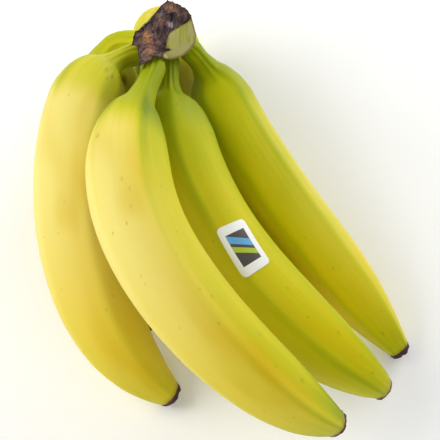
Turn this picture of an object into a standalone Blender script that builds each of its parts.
"""A bunch of six bananas lying on a table, with the cut crown they hang from.

Four bananas form the outer row and two shorter ones lie under them. Every
banana follows one bent centre line from its stalk, which sits in the crown,
to its blossom end. Its cross-section changes on the way: round at the stalk,
five soft ridges along the belly, round again at the tip. Each one ends in the
dark dried remnant of its flower. A small printed label lies on the third
banana. Metres, +Z up, the table at z = 0, origin under the bunch's middle.
"""
import math

import bmesh
import bpy
import numpy as np
from mathutils import Vector

MM = 0.001

# Driving dimensions, in millimetres. The bananas are measured from the point
# on the table right under the crown.
MIDDLE_OF_BUNCH = (27.3, -71.1) # footprint's middle, which becomes the origin
SETTLE = 0.5                  # how far the peel flattens on the table
GAP = 0.35                    # clearance between pieces that touch

# Each banana: five points of its bend, from where its stalk starts, over three
# pulls, to its tip; its greatest width; how long its neck is next to the girth
# table; how thick its neck is as a share of the width; and the angle of its
# first ridge at the stalk and at the tip, in degrees round the centre line
# from straight up.
BANANAS = {
    "left": (((-12.3, -4.6, 64.2), (-34.0, -13.7, 74.4), (-39.4, -38.7, 77.2),
              (-56.9, -117.7, 49.2), (4.0, -145.0, 4.9)), 36.3, 0.69, 0.261, -28, -22),
    "front": (((-4.5, -14.1, 73.8), (0.1, -36.0, 88.4), (-58.5, -91.9, 113.5),
               (34.8, -168.0, 90.9), (75.0, -166.8, 35.2)), 36.9, 1.03, 0.280, -34, 6),
    "middle": (((2.3, -4.4, 59.0), (4.4, -38.2, 71.1), (-9.6, -98.6, 59.1),
                (95.0, -149.9, 40.3), (94.8, -145.3, 20.3)), 36.8, 0.85, 0.240, 2, 26),
    "right": (((11.2, -0.8, 62.9), (33.3, -12.9, 35.3), (14.6, -20.8, 51.8),
               (64.8, -83.4, 41.0), (107.0, -124.0, 3.9)), 29.9, 0.66, 0.335, -28, -26),
    "inner_left": (((-9.3, 5.5, 56.0), (-32.8, 16.3, 45.9), (-32.7, 7.9, 38.0),
                    (-8.8, -71.0, 10.2), (-10.0, -115.0, 9.5)), 31.9, 0.99, 0.294, 20, 10),
    "inner_right": (((-1.2, 17.3, 56.2), (-6.7, 39.4, 20.0), (7.8, -13.2, 6.4),
                     (21.6, -65.4, 22.0), (55.0, -122.0, 13.0)), 33.1, 0.56, 0.320, 0, 10),
}

# How thick a banana is along its length: share of the length, share of the
# greatest width, and how far its ridges stand out there.
GIRTH = (
    (0.000, 0.340, 0.000),
    (0.065, 0.330, 0.005),
    (0.120, 0.420, 0.020),
    (0.165, 0.660, 0.030),
    (0.215, 0.860, 0.032),
    (0.285, 0.970, 0.032),
    (0.390, 1.000, 0.034),
    (0.530, 0.990, 0.036),
    (0.665, 0.960, 0.036),
    (0.785, 0.860, 0.036),
    (0.885, 0.660, 0.040),
    (0.955, 0.450, 0.040),
    (1.000, 0.300, 0.010),
)
RINGS = 25                    # cross-sections along a banana
SIDES = 20                    # points round a cross-section, four to a ridge

BLOSSOM_LENGTH = 3.4          # dark dried end past the yellow peel
BLOSSOM_START = 2.4           # where it starts, before the centre line's end
BLOSSOM_SIDES = 15

LABEL_SIZE = (14.7, 23.0)     # across and along the banana
LABEL_CORNER = 2.2
LABEL_THICKNESS = 0.3
LABEL_SHARE = 0.53            # how far along the banana its centre lies
LABEL_ANGLE = -8              # round the centre line, from straight up
LABEL_TURN = -7                # how far it is turned from the direction of the banana

# The crown: corners of the block that was cut from the plant's stem, in
# millimetres to the right, up the long cut and out from its middle.
CROWN_MIDDLE = (0, 0, 74)
CROWN_TILT = 68               # the cut's corners are laid out facing this way up
CROWN_CORNERS = (
    (1, 15, 2), (7, 12.5, 6), (12, 8, 7), (2, -1, 8), (-2, -11, 9),
    (-10.5, -16.5, 7), (-13.5, -4.5, 1), (-13, 1.5, 0), (-4, 10, 1),
    (14.5, -1.5, 3), (12, -7.5, 2), (4, -11.5, 4),
    (1, 14, -12), (10, 11, -12), (14.5, 3, -12), (13, -8, -12), (3, -12, -10),
    (-9, -12.5, -8), (-14, -4, -12), (-13, 5, -12),
    (5, 12, -25), (-4, 13, -25), (11, 4, -24), (8, -5, -20), (-10, 0, -22),
)


def clean_scene():
    """Empty the scene and the collections of whatever it held."""
    for old in list(bpy.data.objects):
        bpy.data.objects.remove(old, do_unlink=True)
    for old in list(bpy.data.collections):
        bpy.data.collections.remove(old)


def make_collection(name):
    """A new collection in the scene."""
    group = bpy.data.collections.new(name)
    bpy.context.scene.collection.children.link(group)
    return group


def make_material(name, colour, roughness):
    """A plain Principled material."""
    material = bpy.data.materials.new(name)
    material.use_nodes = True
    shader = material.node_tree.nodes["Principled BSDF"]
    shader.inputs["Base Color"].default_value = (*colour, 1.0)
    shader.inputs["Roughness"].default_value = roughness
    shader.inputs["Metallic"].default_value = 0.0
    return material


def to_world(points):
    """Measured millimetres to metres, with the bunch's middle at the origin."""
    shift = np.array([MIDDLE_OF_BUNCH[0], MIDDLE_OF_BUNCH[1], SETTLE])
    return (np.asarray(points, float) - shift) * MM


def smooth_steps(stations, values, at):
    """Values between stations, on a smooth curve that never overshoots."""
    x = np.asarray(stations, float)
    y = np.asarray(values, float)
    step = np.diff(x)
    slope = np.diff(y) / step
    rate = np.zeros(len(x))
    for i in range(1, len(x) - 1):
        if slope[i - 1] * slope[i] > 0:
            before = 2 * step[i] + step[i - 1]
            after = step[i] + 2 * step[i - 1]
            rate[i] = (before + after) / (before / slope[i - 1] + after / slope[i])
    rate[0] = slope[0]
    rate[-1] = slope[-1]
    i = np.clip(np.searchsorted(x, at) - 1, 0, len(x) - 2)
    t = (at - x[i]) / step[i]
    return ((1 + 2 * t) * (1 - t) ** 2 * y[i] + t * (1 - t) ** 2 * step[i] * rate[i]
            + t * t * (3 - 2 * t) * y[i + 1] + t * t * (t - 1) * step[i] * rate[i + 1])


class CentreLine:
    """The bent line through a banana, measured by its own length in mm."""

    def __init__(self, corners):
        t = np.linspace(0, 1, 401)[:, None]
        self.points = np.zeros((401, 3))
        for i, corner in enumerate(corners):
            pull = math.comb(4, i) * (1 - t) ** (4 - i) * t ** i
            self.points = self.points + pull * np.array(corner, float)
        steps = np.linalg.norm(np.diff(self.points, axis=0), axis=1)
        self.along = np.concatenate([[0.0], np.cumsum(steps)])
        self.length = self.along[-1]
        self.tangents = np.gradient(self.points, axis=0)
        self.tangents /= np.linalg.norm(self.tangents, axis=1)[:, None]
        self.ups = self.carry_up()

    def carry_up(self):
        """A sideways direction that starts as 'up' in the middle and never twists."""
        middle = len(self.points) // 2
        ups = np.zeros_like(self.points)
        up = np.array([0.0, 0.0, 1.0])
        up -= self.tangents[middle] * (up @ self.tangents[middle])
        ups[middle] = up / np.linalg.norm(up)
        for path in (range(middle + 1, len(ups)), range(middle - 1, -1, -1)):
            up = ups[middle]
            for i in path:
                up = up - self.tangents[i] * (up @ self.tangents[i])
                up = up / np.linalg.norm(up)
                ups[i] = up
        return ups

    def frames(self, distance):
        """Point, tangent, up and side at each distance; past an end it runs straight."""
        inside = np.clip(distance, 0, self.length)
        point = np.stack([np.interp(inside, self.along, self.points[:, i]) for i in range(3)], 1)
        tangent = np.stack([np.interp(inside, self.along, self.tangents[:, i]) for i in range(3)], 1)
        up = np.stack([np.interp(inside, self.along, self.ups[:, i]) for i in range(3)], 1)
        point = point + tangent * (distance - inside)[:, None]
        side = np.cross(tangent, up)
        return point, tangent, up, side


class Banana:
    """Centre line, girth and ridges of one banana."""

    def __init__(self, corners, width, neck_length, neck_girth, first_ridge, last_ridge):
        self.line = CentreLine(corners)
        self.radius = width / 2
        self.ridge_angles = np.radians([first_ridge, last_ridge])
        self.stations = np.array([row[0] for row in GIRTH])
        self.girths = np.array([row[1] for row in GIRTH])
        self.ridges = np.array([row[2] for row in GIRTH])
        self.stations[1:6] *= neck_length
        self.girths[:3] = neck_girth, 0.98 * neck_girth, neck_girth + 0.085

    def surface(self, distance, angle, lift=0.0):
        """Points on the peel at distances along the line and angles round it."""
        share = np.clip(distance / self.line.length, 0, 1)
        girth = smooth_steps(self.stations, self.girths, share) * self.radius
        ridge = smooth_steps(self.stations, self.ridges, share)
        turn = self.ridge_angles[0] * (1 - share) + self.ridge_angles[1] * share
        out = girth * (1 + ridge * np.cos(5 * (angle - turn))) + lift
        point, _, up, side = self.line.frames(distance)
        return (point + up * (out * np.cos(angle))[:, None]
                + side * (out * np.sin(angle))[:, None])


def loft(name, rings, group, material):
    """Join closed rings of points into one closed body with flat ends."""
    mesh = bpy.data.meshes.new(name)
    shape = bmesh.new()
    rows = [[shape.verts.new(Vector(p)) for p in ring] for ring in rings]
    count = len(rows[0])
    for near, far in zip(rows[:-1], rows[1:]):
        for i in range(count):
            j = (i + 1) % count
            shape.faces.new((near[i], near[j], far[j], far[i]))
    shape.faces.new(rows[0][::-1])
    shape.faces.new(rows[-1])
    bmesh.ops.recalc_face_normals(shape, faces=shape.faces)
    shape.to_mesh(mesh)
    shape.free()
    thing = bpy.data.objects.new(name, mesh)
    group.objects.link(thing)
    if material:
        mesh.materials.append(material)
    return thing


def shade_round(thing, angle=35):
    """Smooth shading that keeps the real edges."""
    thing.data.shade_smooth()
    thing.data.set_sharp_from_angle(angle=math.radians(angle))


def cut_at_table(thing):
    """Trim what would reach below the table, and close the flat spot."""
    shape = bmesh.new()
    shape.from_mesh(thing.data)
    everything = list(shape.verts) + list(shape.edges) + list(shape.faces)
    bmesh.ops.bisect_plane(shape, geom=everything, dist=1e-7, plane_co=(0, 0, 0),
                           plane_no=(0, 0, 1), clear_inner=True)
    rim = [edge for edge in shape.edges if edge.is_boundary]
    if rim:
        bmesh.ops.edgenet_fill(shape, edges=rim)
    bmesh.ops.recalc_face_normals(shape, faces=shape.faces)
    shape.to_mesh(thing.data)
    shape.free()


def build_banana(name, banana, group, material):
    """The yellow peel, from the stalk to where the dried blossom end begins."""
    length = banana.line.length - BLOSSOM_START - GAP
    share = np.linspace(0, 1, RINGS)
    spread = share - 0.035 * np.sin(2 * math.pi * share)
    angles = np.arange(SIDES) * 2 * math.pi / SIDES
    rings = []
    for distance in spread * length:
        around = banana.surface(np.full(SIDES, distance), angles)
        rings.append(to_world(around))
    thing = loft("banana_" + name, rings, group, material)
    cut_at_table(thing)
    shade_round(thing)
    return thing


def build_socket(name, banana, cutters):
    """A slightly fatter copy of the stalk, which hollows its seat in the crown."""
    angles = np.arange(SIDES) * 2 * math.pi / SIDES
    rings = []
    for distance in np.linspace(-GAP, 0.2 * banana.line.length, 8):
        around = banana.surface(np.full(SIDES, distance), angles, lift=GAP)
        rings.append(to_world(around))
    thing = loft("socket_" + name, rings, cutters, None)
    thing.hide_render = True
    thing.display_type = "WIRE"
    return thing


def build_blossom_end(name, banana, group, material):
    """The dried remnant of the flower: a short rough stub with a sunken face."""
    start = banana.line.length - BLOSSOM_START
    radius = banana.radius * GIRTH[-1][1]
    profile = ((0.0, 1.06), (0.9, 1.10), (2.4, 1.02), (BLOSSOM_LENGTH, 0.88),
               (BLOSSOM_LENGTH - 0.3, 0.64), (BLOSSOM_LENGTH - 1.0, 0.42))
    angles = np.arange(BLOSSOM_SIDES) * 2 * math.pi / BLOSSOM_SIDES
    ragged = 1 + 0.05 * np.cos(3 * angles + 1) + 0.04 * np.cos(5 * angles)
    rings = []
    for step, share in profile:
        point, _, up, side = banana.line.frames(np.full(BLOSSOM_SIDES, start + step))
        out = radius * share * ragged
        around = (point + up * (out * np.cos(angles))[:, None]
                  + side * (out * np.sin(angles))[:, None])
        rings.append(to_world(around))
    thing = loft("blossom_end_" + name, rings, group, material)
    cut_at_table(thing)
    shade_round(thing, 50)
    return thing


def build_crown(group, material, sockets):
    """The block cut from the stem: two knife cuts meet on it, stalks sink into it."""
    tilt = math.radians(CROWN_TILT)
    right = np.array([1.0, 0.0, 0.0])
    up = np.array([0.0, math.sin(tilt), math.cos(tilt)])
    out = np.array([0.0, -math.cos(tilt), math.sin(tilt)])
    mesh = bpy.data.meshes.new("crown")
    shape = bmesh.new()
    for a, b, c in CROWN_CORNERS:
        corner = np.array(CROWN_MIDDLE) + right * a + up * b + out * c
        shape.verts.new(Vector(to_world(corner)))
    hull = bmesh.ops.convex_hull(shape, input=shape.verts)
    spare = [v for v in hull["geom_interior"] if isinstance(v, bmesh.types.BMVert)]
    bmesh.ops.delete(shape, geom=spare, context="VERTS")
    bmesh.ops.recalc_face_normals(shape, faces=shape.faces)
    shape.to_mesh(mesh)
    shape.free()
    thing = bpy.data.objects.new("crown", mesh)
    group.objects.link(thing)
    mesh.materials.append(material)
    edge = thing.modifiers.new("worn edges", "BEVEL")
    edge.width = 1.2 * MM
    edge.segments = 2
    edge.limit_method = "ANGLE"
    edge.angle_limit = math.radians(12)
    for socket in sockets:
        cut = thing.modifiers.new("seat of " + socket.name, "BOOLEAN")
        cut.operation = "DIFFERENCE"
        cut.object = socket
        cut.solver = "EXACT"
    return thing


def build_label(banana, group, material):
    """A thin rounded rectangle that follows the peel."""
    half_across, half_along = LABEL_SIZE[0] / 2, LABEL_SIZE[1] / 2
    across = np.linspace(-half_across, half_across, 9)
    along = np.linspace(-half_along, half_along, 15)
    mesh = bpy.data.meshes.new("label")
    shape = bmesh.new()
    centre = banana.line.length * LABEL_SHARE
    turn = math.radians(LABEL_TURN)
    rows = []
    for y in along:
        row = []
        for x in across:
            a = max(0.0, (abs(x) - half_across + LABEL_CORNER) / LABEL_CORNER)
            b = max(0.0, (abs(y) - half_along + LABEL_CORNER) / LABEL_CORNER)
            px = x
            py = y
            if a > 0 and b > 0:
                px = math.copysign(half_across - LABEL_CORNER
                                   + LABEL_CORNER * a * math.sqrt(1 - b * b / 2), x)
                py = math.copysign(half_along - LABEL_CORNER
                                   + LABEL_CORNER * b * math.sqrt(1 - a * a / 2), y)
            turned = px * math.cos(turn) - py * math.sin(turn)
            angle = math.radians(LABEL_ANGLE) + turned / banana.radius
            distance = centre + px * math.sin(turn) + py * math.cos(turn)
            point = banana.surface(np.array([distance]), np.array([angle]), lift=GAP)
            row.append(shape.verts.new(Vector(to_world(point)[0])))
        rows.append(row)
    for near, far in zip(rows[:-1], rows[1:]):
        for i in range(len(near) - 1):
            shape.faces.new((near[i], near[i + 1], far[i + 1], far[i]))
    shape.to_mesh(mesh)
    shape.free()
    thing = bpy.data.objects.new("label", mesh)
    group.objects.link(thing)
    mesh.materials.append(material)
    paper = thing.modifiers.new("paper", "SOLIDIFY")
    paper.thickness = LABEL_THICKNESS * MM
    paper.offset = 1.0
    paper.use_even_offset = True
    return thing


def main():
    """Build the bunch."""
    clean_scene()
    bunch = make_collection("bunch_of_bananas")
    cutters = make_collection("cutters")
    peel = make_material("peel", (0.78, 0.62, 0.08), 0.42)
    dried = make_material("dried_flower", (0.07, 0.045, 0.03), 0.9)
    wood = make_material("crown", (0.12, 0.07, 0.045), 0.85)
    paper = make_material("label", (0.85, 0.85, 0.83), 0.5)
    sockets = []
    for name, shape in BANANAS.items():
        banana = Banana(*shape)
        build_banana(name, banana, bunch, peel)
        build_blossom_end(name, banana, bunch, dried)
        sockets.append(build_socket(name, banana, cutters))
    build_crown(bunch, wood, sockets)
    build_label(Banana(*BANANAS["middle"]), bunch, paper)


main()
